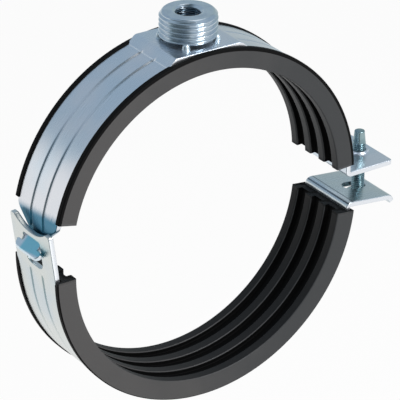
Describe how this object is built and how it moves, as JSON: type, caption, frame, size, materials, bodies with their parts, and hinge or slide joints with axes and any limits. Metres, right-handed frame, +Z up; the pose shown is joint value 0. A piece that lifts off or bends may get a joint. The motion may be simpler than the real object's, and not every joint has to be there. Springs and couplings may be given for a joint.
{
  "type": "rubber lined pipe clamp",
  "caption": "Hinged pipe clamp of zinc-plated strip with a ribbed rubber lining, a threaded hanger nut on top and a clamp screw through two ears.",
  "frame": {"origin": "on the axis of the pipe that the upper half seats, at the middle of the clamp's width", "axes": "+Y along the pipe, +X from the hinge towards the clamp screw, +Z up the hanger thread"},
  "size_m": [0.1528, 0.029, 0.1475],
  "materials": {
    "zinc_strip": "bright blue zinc plating",
    "zinc_nut": "zinc plating on a turned nut",
    "zinc_screw": "zinc plating with a faint green passivation",
    "lining_rubber": "matt black moulded rubber"
  },
  "bodies": {
    "upper_half": {"upper_band": "zinc_strip", "boss_nut": "zinc_nut", "upper_lining": "lining_rubber"},
    "lower_half": {"lower_band": "zinc_strip", "lower_lining": "lining_rubber"},
    "screw": {"clamp_screw": "zinc_screw"}
  },
  "joints": [
    {"name": "hook_hinge", "type": "hinge", "parent": "upper_half", "child": "lower_half", "pos_m": [-0.0642, 0, 0.005], "axis": [0, -1, 0], "range_deg": [-0.3, 4.4]},
    {"name": "screw_travel", "type": "slide", "parent": "upper_half", "child": "screw", "axis": [0, 0, 1], "range_m": [-0.0008, 0.011]}
  ],
  "couplings": [
    {"joint": "screw_travel", "follows": "hook_hinge", "m_per_rad": 0.1416}
  ]
}
